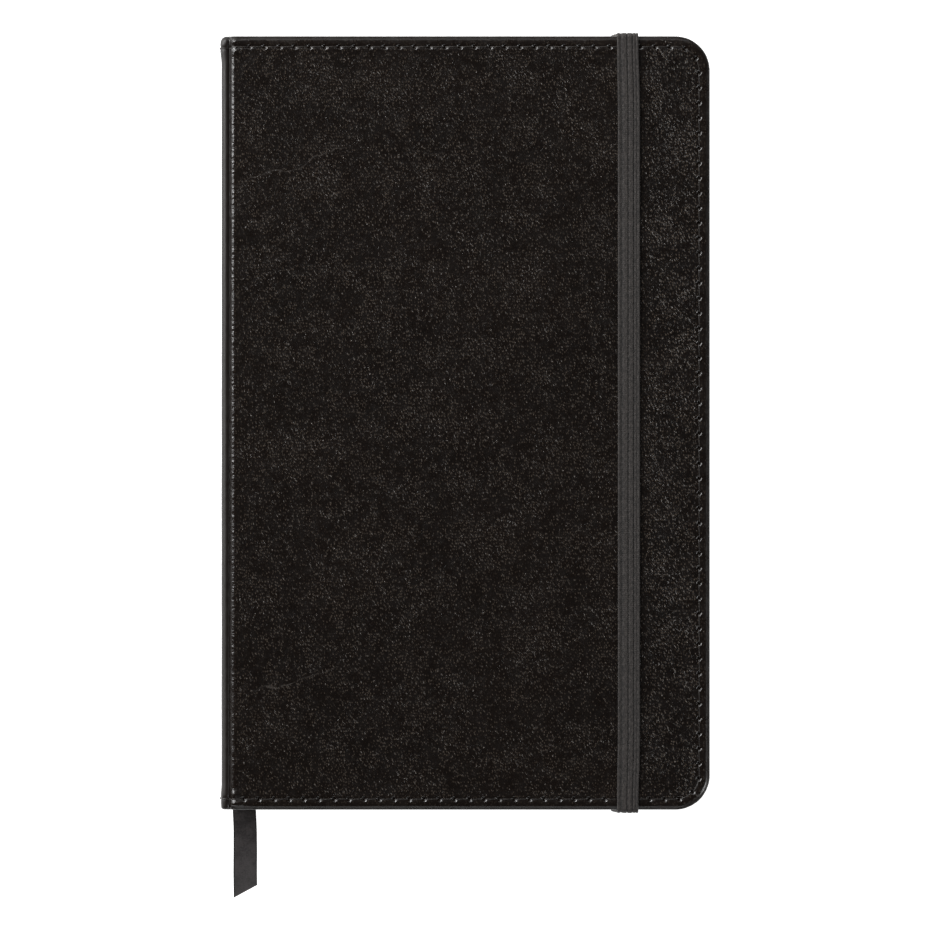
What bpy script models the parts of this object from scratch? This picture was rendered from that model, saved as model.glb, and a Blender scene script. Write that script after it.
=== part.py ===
"""A pocket notebook with a stitched leather cover, an elastic closure and a ribbon marker.

It lies closed on its back cover. +X runs from the spine to the fore edge, +Y from the tail
to the head, +Z from the back cover to the front cover. The origin is the middle of the back
cover's outer face. Units are metres.
"""

import math

import bmesh
import bpy
from mathutils import Vector

MM = 0.001

# ---- driving dimensions ----
COVER_HEIGHT = 139.7 * MM      # tail to head
COVER_WIDTH = 88.2 * MM        # back of the spine to the fore edge
BOOK_THICKNESS = 15.0 * MM     # back cover's face to front cover's face, elastic not counted
CORNER_RADIUS = 6.2 * MM       # the covers' two fore corners
BLOCK_CORNER_RADIUS = 5.0 * MM
CORNER_STEPS = 6               # straight pieces to a rounded corner

LEATHER = 0.6 * MM
BOARD = 1.1 * MM
TURN_IN = 0.45 * MM            # the thinned leather that is folded over the board's edge
TURN_IN_WIDTH = 8.0 * MM
PAPER_SHEET = 0.12 * MM
GAP = 0.1 * MM                 # between one layer and the next
SQUARE = 2.35 * MM             # how far the covers stand past the block at head and tail
FORE_SQUARE = 2.5 * MM
EDGE_ROUNDING = 0.5 * MM       # the leather's roll over the board's edge
EDGE_ROUNDING_MIDDLE = 0.15 * MM
TURNED_EDGE = 0.1 * MM         # where the turned-in leather leaves the edge, and how it rounds in
TURNED_EDGE_ROUNDING = 0.3 * MM

# ---- across the spine, each measured from the back of the spine ----
SPINE_SHOULDER_RADIUS = 1.1 * MM
SPINE_DROP = 0.6 * MM          # how far the spine's shoulders lie below the covers' faces
GROOVE_START = 1.45 * MM       # where the spine leather ends
HINGE = 1.6 * MM               # the fold between the spine and the front cover
COVER_START = 1.85 * MM        # where the cover leather begins
BOARD_START = 2.5 * MM
SPINE_CARD_START = 0.7 * MM
SPINE_CARD = 0.4 * MM
SPINE_CARD_LOW = 1.8 * MM      # the card's lower edge, above the back cover's face
SPINE_CARD_INSET = 1.0 * MM    # how far it stops short of the covers at head and tail
RIBBON_TAB_START = 1.17 * MM
LINING_START = 1.5 * MM
LINING_LOW = 3.2 * MM
LINING_INSET = 4.0 * MM        # how far the cloth stops short of the block at head and tail
SEWING_START = 1.84 * MM
BLOCK_START = 2.1 * MM
LEAF_START = 2.3 * MM

# ---- stitching ----
STITCH_INSET = 1.92 * MM
STITCH_CHANNEL_WIDTH = 0.6 * MM
STITCH_CHANNEL_DEPTH = 0.3 * MM
THREAD_RADIUS = 0.12 * MM
THREAD_CLEARANCE = 0.05 * MM
STITCH_START = 2.6 * MM

# ---- pages ----
TURNING_LEAVES = 6
SIGNATURES = 12
FIRST_SIGNATURE = 0.2 * MM     # what is left of it below the turning leaves
FOLD_ROUNDING = 0.45           # share of a signature's thickness that its fold is rounded by
HEAD_BAND_RADIUS = 0.4 * MM
SEWING_INSET = 0.3 * MM        # from the block's faces
SEWING_STATIONS = (-56.0 * MM, -34.0 * MM, -12.0 * MM, 12.0 * MM, 34.0 * MM, 56.0 * MM)

# ---- ribbon marker ----
RIBBON_WIDTH = 4.2 * MM
RIBBON = 0.2 * MM
RIBBON_START = 2.35 * MM       # its near edge, from the back of the spine
RIBBON_AFTER_SIGNATURE = 6
RIBBON_REACH_NEAR = 18.8 * MM  # how far the tail stands out of the block, at its near edge
RIBBON_REACH_FAR = 16.4 * MM
RIBBON_STEPS = 10
RIBBON_LAP = 0.05 * MM         # how far each stretch of it runs into the next
RIBBON_TIP = 0.1 * MM          # how high its tip lies above the back cover's face
RIBBON_TAB_END = 52.0 * MM     # how far down the spine its glued end reaches, from mid height

# ---- elastic closure ----
ELASTIC_WIDTH = 4.0 * MM
ELASTIC = 0.65 * MM
ELASTIC_FROM_FORE_EDGE = 14.6 * MM   # to the middle of the band
ELASTIC_LEAN = 1.1 * MM              # its ends are fastened this much nearer the spine
ELASTIC_TAB_END = 58.0 * MM          # how far in its glued ends reach, from mid height
ELASTIC_TURN_X = 82.5 * MM           # its turning axis, from the back of the spine
ELASTIC_TURN_Z = 7.95 * MM
ELASTIC_TAB_RISE = 1.3 * MM          # where its ends start to rise, inside the cover's edge
ELASTIC_TAB_FLAT = 1.75 * MM
ELASTIC_RISE = 0.35 * MM
ELASTIC_END_SHORT = 0.1 * MM         # the straight run's ends, inside the cover's edge
ELASTIC_END_OVERLAP = 0.25 * MM      # how far below the run's top its ends stop
NOTCH_CLEARANCE = 0.3 * MM           # around each glued end, in the turned-in leather
NOTCH_DEPTH = 1.0 * MM               # from the cover's edge, and past the turned-in leather

# ---- worked out from these ----
SPINE_X = -COVER_WIDTH / 2
FORE_X = COVER_WIDTH / 2
HALF_HEIGHT = COVER_HEIGHT / 2
BLOCK_HALF = HALF_HEIGHT - SQUARE
BLOCK_FORE_X = FORE_X - FORE_SQUARE
BOARD_LOW = LEATHER + GAP
TURN_IN_LOW = BOARD_LOW + BOARD + GAP
PASTEDOWN_LOW = TURN_IN_LOW + TURN_IN + GAP
FLYLEAF_LOW = PASTEDOWN_LOW + PAPER_SHEET + GAP
BLOCK_LOW = FLYLEAF_LOW + PAPER_SHEET + GAP
SHEET_PITCH = PAPER_SHEET + GAP
ELASTIC_X = FORE_X - ELASTIC_FROM_FORE_EDGE
ELASTIC_END_X = ELASTIC_X - ELASTIC_LEAN
FRONT_HINGE = (SPINE_X + HINGE, 0.0, BOOK_THICKNESS)


# ---- materials ----
def material(name, colour, roughness, metallic=0.0):
    made = bpy.data.materials.new(name)
    made.use_nodes = True
    shader = made.node_tree.nodes["Principled BSDF"]
    shader.inputs["Base Color"].default_value = (*colour, 1.0)
    shader.inputs["Roughness"].default_value = roughness
    shader.inputs["Metallic"].default_value = metallic
    made.diffuse_color = (*colour, 1.0)
    return made


# ---- making objects ----
def pivot(name, place):
    """An empty on a joint's axis, which the pieces that turn about it are parented to."""
    empty = bpy.data.objects.new(name, None)
    empty.location = place
    bpy.context.scene.collection.objects.link(empty)
    return empty


def add(name, mesh, made_of, parent=None, smooth=False):
    """Turn a bmesh in world coordinates into an object, with its origin on its parent's."""
    bmesh.ops.remove_doubles(mesh, verts=mesh.verts, dist=0.000001)
    bmesh.ops.recalc_face_normals(mesh, faces=mesh.faces)
    if parent is not None:
        bmesh.ops.translate(mesh, verts=mesh.verts, vec=-parent.location)
    data = bpy.data.meshes.new(name)
    mesh.to_mesh(data)
    mesh.free()
    data.materials.append(made_of)
    if smooth:
        data.shade_smooth()
        data.set_sharp_from_angle(angle=math.radians(40))
    thing = bpy.data.objects.new(name, data)
    thing.parent = parent
    bpy.context.scene.collection.objects.link(thing)
    return thing


def bridge(mesh, rings, closed):
    """Join neighbouring rings of vertices with faces. A closed ring joins up with its start."""
    for ring, following in zip(rings, rings[1:]):
        count = len(ring)
        for k in range(count if closed else count - 1):
            after = (k + 1) % count
            mesh.faces.new((ring[k], ring[after], following[after], following[k]))


def loft(mesh, sections):
    """A closed body through a list of equal cross-sections, each a list of points."""
    rings = [[mesh.verts.new(point) for point in section] for section in sections]
    bridge(mesh, rings, closed=True)
    mesh.faces.new(rings[0])
    mesh.faces.new(rings[-1])


def box(mesh, low, high):
    corners = ((low[0], low[1]), (high[0], low[1]), (high[0], high[1]), (low[0], high[1]))
    loft(mesh, [[(x, y, z) for x, y in corners] for z in (low[2], high[2])])


def outline(start_x, fore_x, half_height, radius):
    """Along the head, fore and tail edges, from the spine side back to the spine side."""
    points = [(start_x, half_height)]
    for centre_y, first_angle in ((half_height - radius, 90), (radius - half_height, 0)):
        for k in range(CORNER_STEPS + 1):
            angle = math.radians(first_angle - 90 * k / CORNER_STEPS)
            x = fore_x - radius + radius * math.cos(angle)
            points.append((x, centre_y + radius * math.sin(angle)))
    points.append((start_x, -half_height))
    return points


def cover_outline(start_x, inset):
    """The cover's outline, moved in from its head, fore and tail edges."""
    radius = max(CORNER_RADIUS - inset, 0.4 * MM)
    return outline(start_x, FORE_X - inset, HALF_HEIGHT - inset, radius)


def slab(mesh, points, low, high):
    loft(mesh, [[(x, y, z) for x, y in points] for z in (low, high)])


def tube(mesh, points, radius, sides=6):
    """A thread of even thickness along a list of points, capped at both ends."""
    sections = []
    points = [Vector(p) for p in points]
    across = None
    for k, point in enumerate(points):
        ahead = points[min(k + 1, len(points) - 1)] - points[max(k - 1, 0)]
        ahead.normalize()
        if across is None:
            across = ahead.orthogonal().normalized()
        across = (across - ahead * across.dot(ahead)).normalized()
        up = ahead.cross(across)
        ring = []
        for side in range(sides):
            angle = 2 * math.pi * side / sides
            ring.append(point + radius * (math.cos(angle) * across + math.sin(angle) * up))
        sections.append(ring)
    loft(mesh, sections)


def as_front(z):
    """The front cover's height for a height in the back cover: the two are mirror images."""
    return BOOK_THICKNESS - z


# ---- covers ----
def cover_leather(name, height, made_of, parent):
    """The cover's leather: a face with a stitch channel, turned in over three edges."""
    channel_out = STITCH_INSET - STITCH_CHANNEL_WIDTH / 2
    channel_in = STITCH_INSET + STITCH_CHANNEL_WIDTH / 2
    profile = (
        (channel_in, 0.0),
        (channel_in, STITCH_CHANNEL_DEPTH),
        (channel_out, STITCH_CHANNEL_DEPTH),
        (channel_out, 0.0),
        (EDGE_ROUNDING, 0.0),
        (EDGE_ROUNDING_MIDDLE, EDGE_ROUNDING_MIDDLE),
        (0.0, EDGE_ROUNDING),
        (0.0, TURN_IN_LOW + TURNED_EDGE),
        (TURNED_EDGE_ROUNDING, TURN_IN_LOW + TURN_IN),
        (TURN_IN_WIDTH, TURN_IN_LOW + TURN_IN),
        (TURN_IN_WIDTH, TURN_IN_LOW),
        (LEATHER, TURN_IN_LOW),
        (LEATHER, LEATHER),
    )
    mesh = bmesh.new()
    start_x = SPINE_X + COVER_START
    rings = []
    for inset, z in profile:
        points = cover_outline(start_x, inset)
        rings.append([mesh.verts.new((x, y, height(z))) for x, y in points])
    bridge(mesh, rings, closed=False)
    mesh.faces.new(rings[0])
    mesh.faces.new(rings[-1])
    mesh.faces.new([ring[0] for ring in rings] + [ring[-1] for ring in reversed(rings)])
    return add(name, mesh, made_of, parent)


def board(name, height, made_of, parent):
    mesh = bmesh.new()
    points = cover_outline(SPINE_X + BOARD_START, LEATHER + GAP)
    slab(mesh, points, height(BOARD_LOW), height(BOARD_LOW + BOARD))
    return add(name, mesh, made_of, parent)


def paper_outline():
    return outline(SPINE_X + LEAF_START, BLOCK_FORE_X, BLOCK_HALF, BLOCK_CORNER_RADIUS)


def sheet(name, low, made_of, parent):
    mesh = bmesh.new()
    slab(mesh, paper_outline(), low, low + PAPER_SHEET)
    return add(name, mesh, made_of, parent)


def cover_stitching(name, height, made_of, parent):
    depth = STITCH_CHANNEL_DEPTH - THREAD_RADIUS - THREAD_CLEARANCE
    points = cover_outline(SPINE_X + STITCH_START, STITCH_INSET)
    mesh = bmesh.new()
    tube(mesh, [(x, y, height(depth)) for x, y in points], THREAD_RADIUS)
    return add(name, mesh, made_of, parent, smooth=True)


# ---- spine ----
def spine_profile(offset):
    """The spine leather's outside in the XZ plane, front groove to back groove, moved inward."""
    radius = SPINE_SHOULDER_RADIUS - offset
    centre_x = SPINE_X + SPINE_SHOULDER_RADIUS
    low = SPINE_DROP + SPINE_SHOULDER_RADIUS
    points = [(SPINE_X + GROOVE_START, as_front(SPINE_DROP + offset))]
    for centre_z, first_angle in ((as_front(low), 90), (low, 180)):
        for k in range(CORNER_STEPS + 1):
            angle = math.radians(first_angle + 90 * k / CORNER_STEPS)
            x = centre_x + radius * math.cos(angle)
            points.append((x, centre_z + radius * math.sin(angle)))
    points.append((SPINE_X + GROOVE_START, SPINE_DROP + offset))
    return points


def spine_leather(made_of):
    mesh = bmesh.new()
    points = spine_profile(0.0) + spine_profile(LEATHER)[::-1]
    loft(mesh, [[(x, y, z) for x, z in points] for y in (-HALF_HEIGHT, HALF_HEIGHT)])
    return add("spine_leather", mesh, made_of, smooth=True)


def spine_stitch(name, side, made_of):
    """The turn of thread that carries the head or tail row of stitches round the spine."""
    mesh = bmesh.new()
    lift = THREAD_RADIUS + THREAD_CLEARANCE
    y = side * (HALF_HEIGHT - STITCH_INSET)
    tube(mesh, [(x, y, z) for x, z in spine_profile(-lift)], THREAD_RADIUS)
    return add(name, mesh, made_of, smooth=True)


def upright(name, start, thickness, half_height, low, made_of):
    """A thin strip that stands on edge along the spine, as far from the front as from the back."""
    mesh = bmesh.new()
    x = SPINE_X + start
    box(mesh, (x, -half_height, low), (x + thickness, half_height, as_front(low)))
    return add(name, mesh, made_of)


def head_band(name, side, made_of):
    """A rolled cloth bead at the end of the block's back."""
    y = side * (BLOCK_HALF + GAP + HEAD_BAND_RADIUS)
    x = SPINE_X + SEWING_START
    mesh = bmesh.new()
    tube(mesh, [(x, y, BLOCK_LOW), (x, y, as_front(BLOCK_LOW))], HEAD_BAND_RADIUS, sides=10)
    return add(name, mesh, made_of, smooth=True)


# ---- pages ----
def signature_heights():
    """The lowest and highest of each signature, top one first, and the ribbon's underside."""
    top = as_front(BLOCK_LOW) - TURNING_LEAVES * SHEET_PITCH
    spare = RIBBON + GAP
    room = top - BLOCK_LOW - FIRST_SIGNATURE - (SIGNATURES - 1) * GAP - spare
    each = room / (SIGNATURES - 1)
    heights, ribbon_low = [], 0.0
    for k in range(SIGNATURES):
        low = top - (each if k else FIRST_SIGNATURE)
        heights.append((low, top))
        top = low - GAP
        if k + 1 == RIBBON_AFTER_SIGNATURE:
            ribbon_low = top - RIBBON
            top = ribbon_low - GAP
    return heights, ribbon_low


def signature(name, low, high, made_of):
    """Folded leaves as one solid, rounded along the fold."""
    mesh = bmesh.new()
    points = outline(SPINE_X + BLOCK_START, BLOCK_FORE_X, BLOCK_HALF, BLOCK_CORNER_RADIUS)
    slab(mesh, points, low, high)
    fold = [e for e in mesh.edges if all(v.co.x < SPINE_X + LEAF_START for v in e.verts)]
    fold = [e for e in fold if abs(e.verts[0].co.y - e.verts[1].co.y) > BLOCK_HALF]
    rounding = FOLD_ROUNDING * (high - low)
    bmesh.ops.bevel(mesh, geom=fold, offset=rounding, segments=3, profile=0.5, affect="EDGES")
    return add(name, mesh, made_of)


def sewing(made_of, low, high):
    """One thread up and down across the folds, and along the block from station to station."""
    x = SPINE_X + SEWING_START
    points = []
    for k, y in enumerate(SEWING_STATIONS):
        ends = (low, high) if k % 2 == 0 else (high, low)
        points += [(x, y, z) for z in ends]
    mesh = bmesh.new()
    tube(mesh, points, THREAD_RADIUS)
    return add("signature_sewing_thread", mesh, made_of, smooth=True)


# ---- ribbon marker ----
def ribbon_in_block(made_of, low):
    """Glued to the spine, over the head band, and down between two signatures near the folds."""
    near = SPINE_X + RIBBON_START
    far = near + RIBBON_WIDTH
    tab = SPINE_X + RIBBON_TAB_START
    over = BLOCK_HALF + 2 * HEAD_BAND_RADIUS + 2 * GAP
    high = low + RIBBON
    tab_low = low + RIBBON / 2 - RIBBON_WIDTH / 2
    tab_high = tab_low + RIBBON_WIDTH
    lap = RIBBON_LAP
    boxes = (
        ((near, -BLOCK_HALF + GAP, low), (far, BLOCK_HALF, high)),
        ((near + lap, BLOCK_HALF - lap, low + lap / 2), (far - lap, over + lap, high - lap / 2)),
        ((tab + lap, over, tab_low + lap), (near + RIBBON_WIDTH / 2, over + RIBBON, tab_high - lap)),
        ((tab, RIBBON_TAB_END, tab_low), (tab + RIBBON, over + RIBBON + lap, tab_high)),
    )
    pieces = []
    for k, (lowest, highest) in enumerate(boxes):
        mesh = bmesh.new()
        box(mesh, lowest, highest)
        pieces.append(add(f"ribbon_piece_{k}" if k else "ribbon_marker", mesh, made_of))
    for extra in pieces[1:]:
        extra.hide_render = True
        extra.display_type = "WIRE"
        union = pieces[0].modifiers.new(extra.name, "BOOLEAN")
        union.operation = "UNION"
        union.object = extra


def ribbon_tail(made_of, low, parent):
    """The end that hangs out at the tail, sinking to the table in a parabola, cut on a slant."""
    near = SPINE_X + RIBBON_START
    fall = low - RIBBON_TIP
    sections = []
    for k in range(RIBBON_STEPS + 1):
        corners = []
        for x, reach in ((near, RIBBON_REACH_NEAR), (near + RIBBON_WIDTH, RIBBON_REACH_FAR)):
            out = k / RIBBON_STEPS * reach
            z = low - fall * (out / RIBBON_REACH_NEAR) ** 2
            corners.append(Vector((x, -BLOCK_HALF - out, z)))
        thick = Vector((0, 0, RIBBON))
        sections.append([corners[0], corners[1], corners[1] + thick, corners[0] + thick])
    mesh = bmesh.new()
    loft(mesh, sections)
    return add("ribbon_marker_tail", mesh, made_of, parent)


# ---- elastic closure ----
def strip_along(mesh, middle, width, thickness):
    """A flat band whose middle line lies in a YZ plane, as (x, y, z) points."""
    sections = []
    points = [Vector(p) for p in middle]
    for k, point in enumerate(points):
        before = points[k] - points[k - 1] if k else points[1] - points[0]
        after = points[k + 1] - points[k] if k + 1 < len(points) else before
        normals = []
        for step in (before, after):
            step = Vector((0, step.y, step.z)).normalized()
            normals.append(Vector((0, -step.z, step.y)))
        normal = (normals[0] + normals[1]).normalized()
        normal *= thickness / 2 / max(normal.dot(normals[0]), 0.5)
        side = Vector((width / 2, 0, 0))
        low, high = point - normal, point + normal
        sections.append([low - side, low + side, high + side, high - side])
    loft(mesh, sections)


def elastic_end(name, side, made_of):
    """From its glued tab under the back endpaper, out at the edge and up past the front cover."""
    middle = TURN_IN_LOW + TURN_IN / 2
    out = HALF_HEIGHT + GAP + ELASTIC / 2
    top = BOOK_THICKNESS + GAP + ELASTIC - ELASTIC_END_OVERLAP
    mesh = bmesh.new()
    route = (
        (0.0, ELASTIC_TAB_END, middle),
        (0.0, HALF_HEIGHT - ELASTIC_TAB_FLAT, middle),
        (0.1, HALF_HEIGHT - ELASTIC_TAB_RISE, middle + ELASTIC_RISE),
        (0.7, out, as_front(PASTEDOWN_LOW + 2 * GAP)),
        (1.0, out, top),
    )
    points = [(ELASTIC_END_X + share * ELASTIC_LEAN, side * y, z) for share, y, z in route]
    strip_along(mesh, points, ELASTIC_WIDTH, TURN_IN)
    return add(name, mesh, made_of)


def elastic_run(made_of, parent):
    mesh = bmesh.new()
    low = BOOK_THICKNESS + GAP
    half = HALF_HEIGHT - ELASTIC_END_SHORT
    near, far = ELASTIC_X - ELASTIC_WIDTH / 2, ELASTIC_X + ELASTIC_WIDTH / 2
    box(mesh, (near, -half, low), (far, half, low + ELASTIC))
    return add("elastic_band", mesh, made_of, parent)


def cut_elastic_notches(leather):
    """The turned-in leather stops short of each glued end of the elastic."""
    for side, name in ((1, "head_notch"), (-1, "tail_notch")):
        near = side * (HALF_HEIGHT - TURN_IN_WIDTH - NOTCH_DEPTH)
        far = side * (HALF_HEIGHT - NOTCH_DEPTH)
        reach = ELASTIC_WIDTH / 2 + NOTCH_CLEARANCE
        mesh = bmesh.new()
        box(
            mesh,
            (ELASTIC_END_X - reach, min(near, far), TURN_IN_LOW - GAP / 2),
            (ELASTIC_END_X + reach, max(near, far), TURN_IN_LOW + 2 * TURN_IN),
        )
        cutter = add(name, mesh, leather.data.materials[0])
        cutter.hide_render = True
        cutter.display_type = "WIRE"
        cut = leather.modifiers.new(name, "BOOLEAN")
        cut.operation = "DIFFERENCE"
        cut.object = cutter


# ---- the notebook ----
def main():
    for thing in list(bpy.data.objects):
        bpy.data.objects.remove(thing)

    leather = material("leather", (0.022, 0.018, 0.016), 0.5)
    greyboard = material("greyboard", (0.33, 0.31, 0.28), 0.9)
    endpaper = material("endpaper", (0.80, 0.76, 0.66), 0.85)
    paper = material("paper", (0.86, 0.83, 0.74), 0.85)
    thread = material("stitching_thread", (0.03, 0.026, 0.023), 0.55)
    sewing_thread = material("sewing_thread", (0.75, 0.73, 0.68), 0.7)
    lining = material("spine_lining", (0.78, 0.76, 0.70), 0.9)
    band_cloth = material("head_band_cloth", (0.05, 0.045, 0.04), 0.7)
    satin = material("ribbon", (0.035, 0.031, 0.032), 0.4)
    elastic = material("elastic", (0.05, 0.045, 0.043), 0.75)

    front_hinge = pivot("front_cover_hinge_axis", FRONT_HINGE)
    elastic_turn = pivot("elastic_turn_axis", (SPINE_X + ELASTIC_TURN_X, 0.0, ELASTIC_TURN_Z))
    heights, ribbon_low = signature_heights()
    tail_axis = (SPINE_X + RIBBON_START, -BLOCK_HALF, ribbon_low + RIBBON)
    ribbon_lift = pivot("ribbon_tail_axis", tail_axis)

    def at_back(z):
        return z

    back_leather = cover_leather("back_cover_leather", at_back, leather, None)
    cut_elastic_notches(back_leather)
    board("back_board", at_back, greyboard, None)
    cover_stitching("back_cover_stitching", at_back, thread, None)
    sheet("back_pastedown", PASTEDOWN_LOW, endpaper, None)
    sheet("back_flyleaf", FLYLEAF_LOW, endpaper, None)

    spine_leather(leather)
    spine_stitch("spine_head_stitch", 1, thread)
    spine_stitch("spine_tail_stitch", -1, thread)
    card_half = HALF_HEIGHT - SPINE_CARD_INSET
    upright("spine_card", SPINE_CARD_START, SPINE_CARD, card_half, SPINE_CARD_LOW, greyboard)
    lining_half = BLOCK_HALF - LINING_INSET
    upright("spine_lining_cloth", LINING_START, PAPER_SHEET, lining_half, LINING_LOW, lining)
    head_band("head_band", 1, band_cloth)
    head_band("tail_band", -1, band_cloth)

    for k, (low, high) in enumerate(heights, 1):
        signature(f"signature_{k}", low, high, paper)
    sewing(sewing_thread, BLOCK_LOW + SEWING_INSET, heights[0][1] - SEWING_INSET)
    ribbon_in_block(satin, ribbon_low)
    ribbon_tail(satin, ribbon_low, ribbon_lift)

    cover_leather("front_cover_leather", as_front, leather, front_hinge)
    board("front_board", as_front, greyboard, front_hinge)
    cover_stitching("front_cover_stitching", as_front, thread, front_hinge)
    sheet("front_pastedown", as_front(PASTEDOWN_LOW + PAPER_SHEET), endpaper, front_hinge)
    sheet("front_flyleaf", as_front(FLYLEAF_LOW + PAPER_SHEET), endpaper, front_hinge)
    for k in range(TURNING_LEAVES):
        low = as_front(BLOCK_LOW + k * SHEET_PITCH + PAPER_SHEET)
        sheet(f"leaf_{k + 1}", low, paper, front_hinge)

    elastic_end("elastic_head_end", 1, elastic)
    elastic_end("elastic_tail_end", -1, elastic)
    elastic_run(elastic, elastic_turn)


main()
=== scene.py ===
"""Looks for the pocket notebook: leather skin, stitches, elastic, ribbon and pages on the CAD frame."""

import math
import random

import bpy
import numpy as np
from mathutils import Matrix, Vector, noise


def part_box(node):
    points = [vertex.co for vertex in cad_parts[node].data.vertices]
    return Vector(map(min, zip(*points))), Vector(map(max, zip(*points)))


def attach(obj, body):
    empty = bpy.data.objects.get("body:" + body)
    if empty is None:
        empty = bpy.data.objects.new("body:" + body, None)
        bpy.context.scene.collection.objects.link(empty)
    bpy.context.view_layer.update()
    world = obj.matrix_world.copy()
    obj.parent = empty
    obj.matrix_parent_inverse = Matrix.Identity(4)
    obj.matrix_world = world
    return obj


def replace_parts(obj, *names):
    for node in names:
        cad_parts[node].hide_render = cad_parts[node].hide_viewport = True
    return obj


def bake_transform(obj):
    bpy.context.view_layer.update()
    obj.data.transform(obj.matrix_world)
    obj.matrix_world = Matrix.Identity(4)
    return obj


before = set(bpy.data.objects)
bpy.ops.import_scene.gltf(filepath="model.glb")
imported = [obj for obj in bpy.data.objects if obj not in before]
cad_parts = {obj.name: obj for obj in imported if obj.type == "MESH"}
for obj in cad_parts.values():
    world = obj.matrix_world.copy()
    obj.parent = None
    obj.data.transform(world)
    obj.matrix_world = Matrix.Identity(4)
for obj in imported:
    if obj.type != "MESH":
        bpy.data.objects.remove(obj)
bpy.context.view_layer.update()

MM = 0.001

# ---- places, from the CAD frame ----
front_low, front_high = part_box("front_cover_leather")
spine_low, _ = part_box("spine_leather")
_, block_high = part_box("signature_12")
band_low, band_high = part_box("elastic_band")
ribbon_low, ribbon_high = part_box("ribbon_marker_tail")
SPINE_X = spine_low.x
START_X = front_low.x              # where the cover's leather leaves the groove
FORE_X = front_high.x
HALF = front_high.y
TOP = front_high.z                 # the front cover's outer face
COVER_DEPTH = front_high.z - front_low.z
BLOCK_HALF = block_high.y
CORNER = 6.2 * MM
BLOCK_CORNER = 5.0 * MM

# ---- stitching ----
STITCH_INSET = 1.92 * MM
STITCHES = 110
FIRST_STITCH = 3.2 * MM            # along the row, from the cover's spine edge at the head
LAST_STITCH = 2.2 * MM             # and from its spine edge at the tail
THREAD = 0.10 * MM                 # radius

# ---- how finely the cover's leather is divided ----
COARSE_PER_STITCH = 4
FINE_PER_COARSE = 3
HEAD_STEPS = (0, 0.13, 0.26, 0.39, 0.53, 0.72, 1.2, 2.1)  # coarse steps to the first stitch, mm
TAIL_STEPS = (2.2, 1.1, 0.68, 0.45, 0.3, 0.15, 0)         # and from the last, to the tail's spine edge
COLUMNS = 126                      # coarse steps from the spine edge to the middle of a fore corner

STITCH_ROW = CORNER - STITCH_INSET
STRAIGHT = FORE_X - CORNER - START_X
ARC = STITCH_ROW * math.pi / 2
SIDE = 2 * (HALF - CORNER)
ROW_LENGTH = 2 * STRAIGHT + 2 * ARC + SIDE
PITCH = (ROW_LENGTH - FIRST_STITCH - LAST_STITCH) / (STITCHES - 1)

# where the front has been bent: the two ends of each faint line
CREASES = (
    ((SPINE_X + 2.6 * MM, HALF - 26.5 * MM, TOP), (SPINE_X + 24.0 * MM, HALF - 19.7 * MM, TOP)),
    ((SPINE_X + 5.6 * MM, HALF - 119.0 * MM, TOP), (SPINE_X + 22.0 * MM, HALF - 113.7 * MM, TOP)),
)


def smooth(x):
    """0 below 0, 1 above 1, and eased between."""
    x = min(max(x, 0.0), 1.0)
    return x * x * (3 - 2 * x)


def bell(x, width):
    """1 at 0, falling away on both sides."""
    return math.exp(-((x / width) ** 2))


# ---- meshes ----
def piece(name, points, faces, made_of, floats=None):
    """A smooth-shaded mesh object that remembers where its points are at rest."""
    data = bpy.data.meshes.new(name)
    data.from_pydata([tuple(p) for p in points], [], faces)
    data.materials.append(made_of)
    kept = data.attributes.new("rest", "FLOAT_VECTOR", "POINT")
    kept.data.foreach_set("vector", np.array(points, np.float32).ravel())
    for key, values in (floats or {}).items():
        attribute = data.attributes.new(key, "FLOAT", "POINT")
        attribute.data.foreach_set("value", np.array(values, np.float32))
    data.shade_smooth()
    data.validate()
    data.update()
    made = bpy.data.objects.new(name, data)
    bpy.context.scene.collection.objects.link(made)
    return made


class Mesh:
    """Points and faces while a piece is being made."""

    def __init__(self):
        self.points = []
        self.faces = []

    def add(self, point):
        self.points.append(tuple(point))
        return len(self.points) - 1

    def loft(self, sections, caps=True):
        """Faces through a list of equal sections, which run anticlockwise seen from ahead."""
        rings = [[self.add(p) for p in section] for section in sections]
        for ring, following in zip(rings, rings[1:]):
            count = len(ring)
            for k in range(count):
                after = (k + 1) % count
                self.faces.append((ring[k], ring[after], following[after], following[k]))
        if caps:
            self.faces.append(tuple(reversed(rings[0])))
            self.faces.append(tuple(rings[-1]))

    def tube(self, path, radius, sides=6):
        """A round thread along a path. radius is a number, or one for each point."""
        path = [Vector(p) for p in path]
        radii = radius if isinstance(radius, list) else [radius] * len(path)
        across = None
        sections = []
        for k, point in enumerate(path):
            ahead = (path[min(k + 1, len(path) - 1)] - path[max(k - 1, 0)]).normalized()
            if across is None:
                across = ahead.orthogonal().normalized()
            across = (across - ahead * across.dot(ahead)).normalized()
            up = ahead.cross(across)
            ring = []
            for side in range(sides):
                angle = 2 * math.pi * side / sides
                ring.append(point + radii[k] * (math.cos(angle) * across + math.sin(angle) * up))
            sections.append(ring)
        self.loft(sections)


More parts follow.
